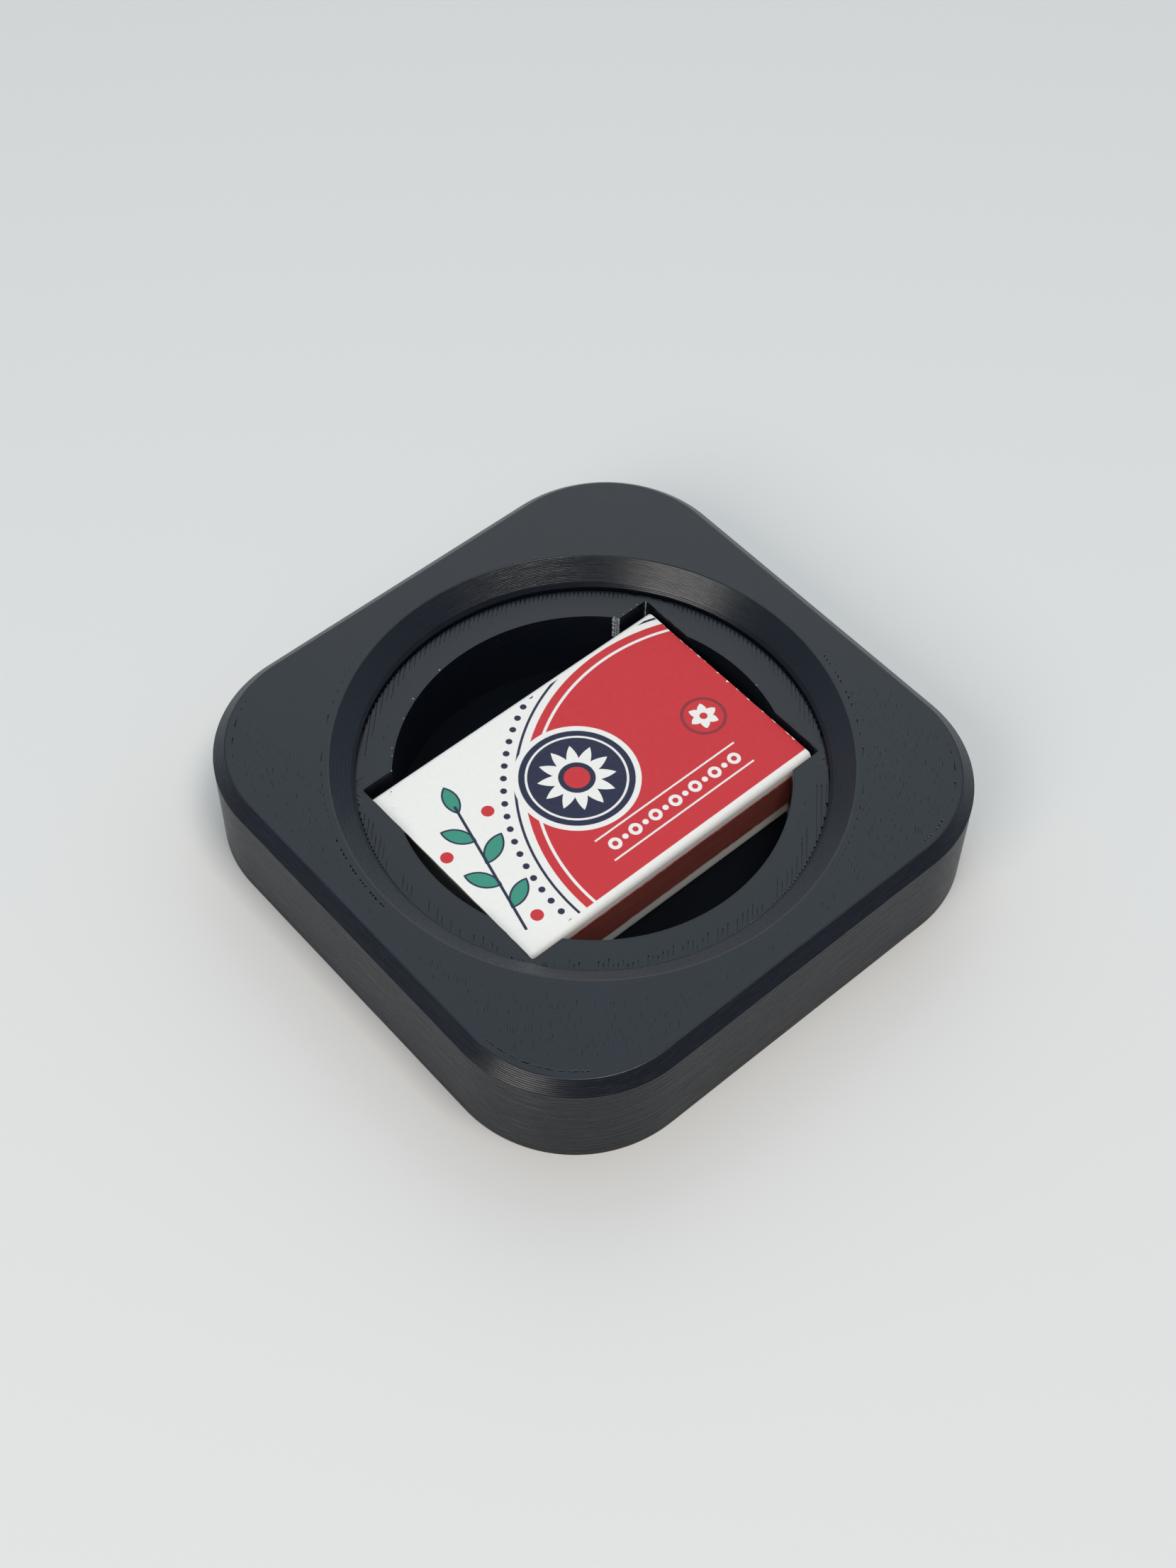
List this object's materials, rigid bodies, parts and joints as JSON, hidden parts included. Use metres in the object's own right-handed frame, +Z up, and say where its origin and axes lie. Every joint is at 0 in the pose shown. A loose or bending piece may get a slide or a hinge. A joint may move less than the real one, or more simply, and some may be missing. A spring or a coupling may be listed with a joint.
{
  "type": "matchbox holder",
  "caption": "Square plastic block with rounded corners and a round stepped dish that holds a matchbox in a slot, with finger room on both sides of the box.",
  "frame": {"origin": "middle of the block's underside", "axes": "+Z up out of the dish, X along the matchbox, with the match heads towards +X; -Y is the matchbox side that faces the camera in the picture"},
  "size_m": [0.088, 0.088, 0.0176],
  "materials": {
    "holder_plastic": "satin, with fine print lines",
    "sleeve_card": "smooth coated card",
    "striker": "rough matte",
    "tray_card": "matte",
    "match_wood": "bare",
    "match_head": "matte"
  },
  "bodies": {
    "holder": {"holder_body": "holder_plastic"},
    "matchbox": {"box_sleeve": "sleeve_card", "striker_near": "striker", "striker_far": "striker"},
    "drawer": {"box_tray": "tray_card", "match_sticks_low": "match_wood", "match_heads_low": "match_head", "match_sticks_mid": "match_wood", "match_heads_mid": "match_head", "match_sticks_top": "match_wood", "match_heads_top": "match_head"}
  },
  "joints": [
    {"name": "box_lift", "type": "slide", "parent": "holder", "child": "matchbox", "axis": [0, 0, 1], "range_m": [0, 0.2]},
    {"name": "tray_slide", "type": "slide", "parent": "matchbox", "child": "drawer", "axis": [1, 0, 0], "range_m": [0, 0.016]}
  ],
  "couplings": [
    {"joint": "tray_slide", "follows": "box_lift", "ratio": 0.08}
  ]
}
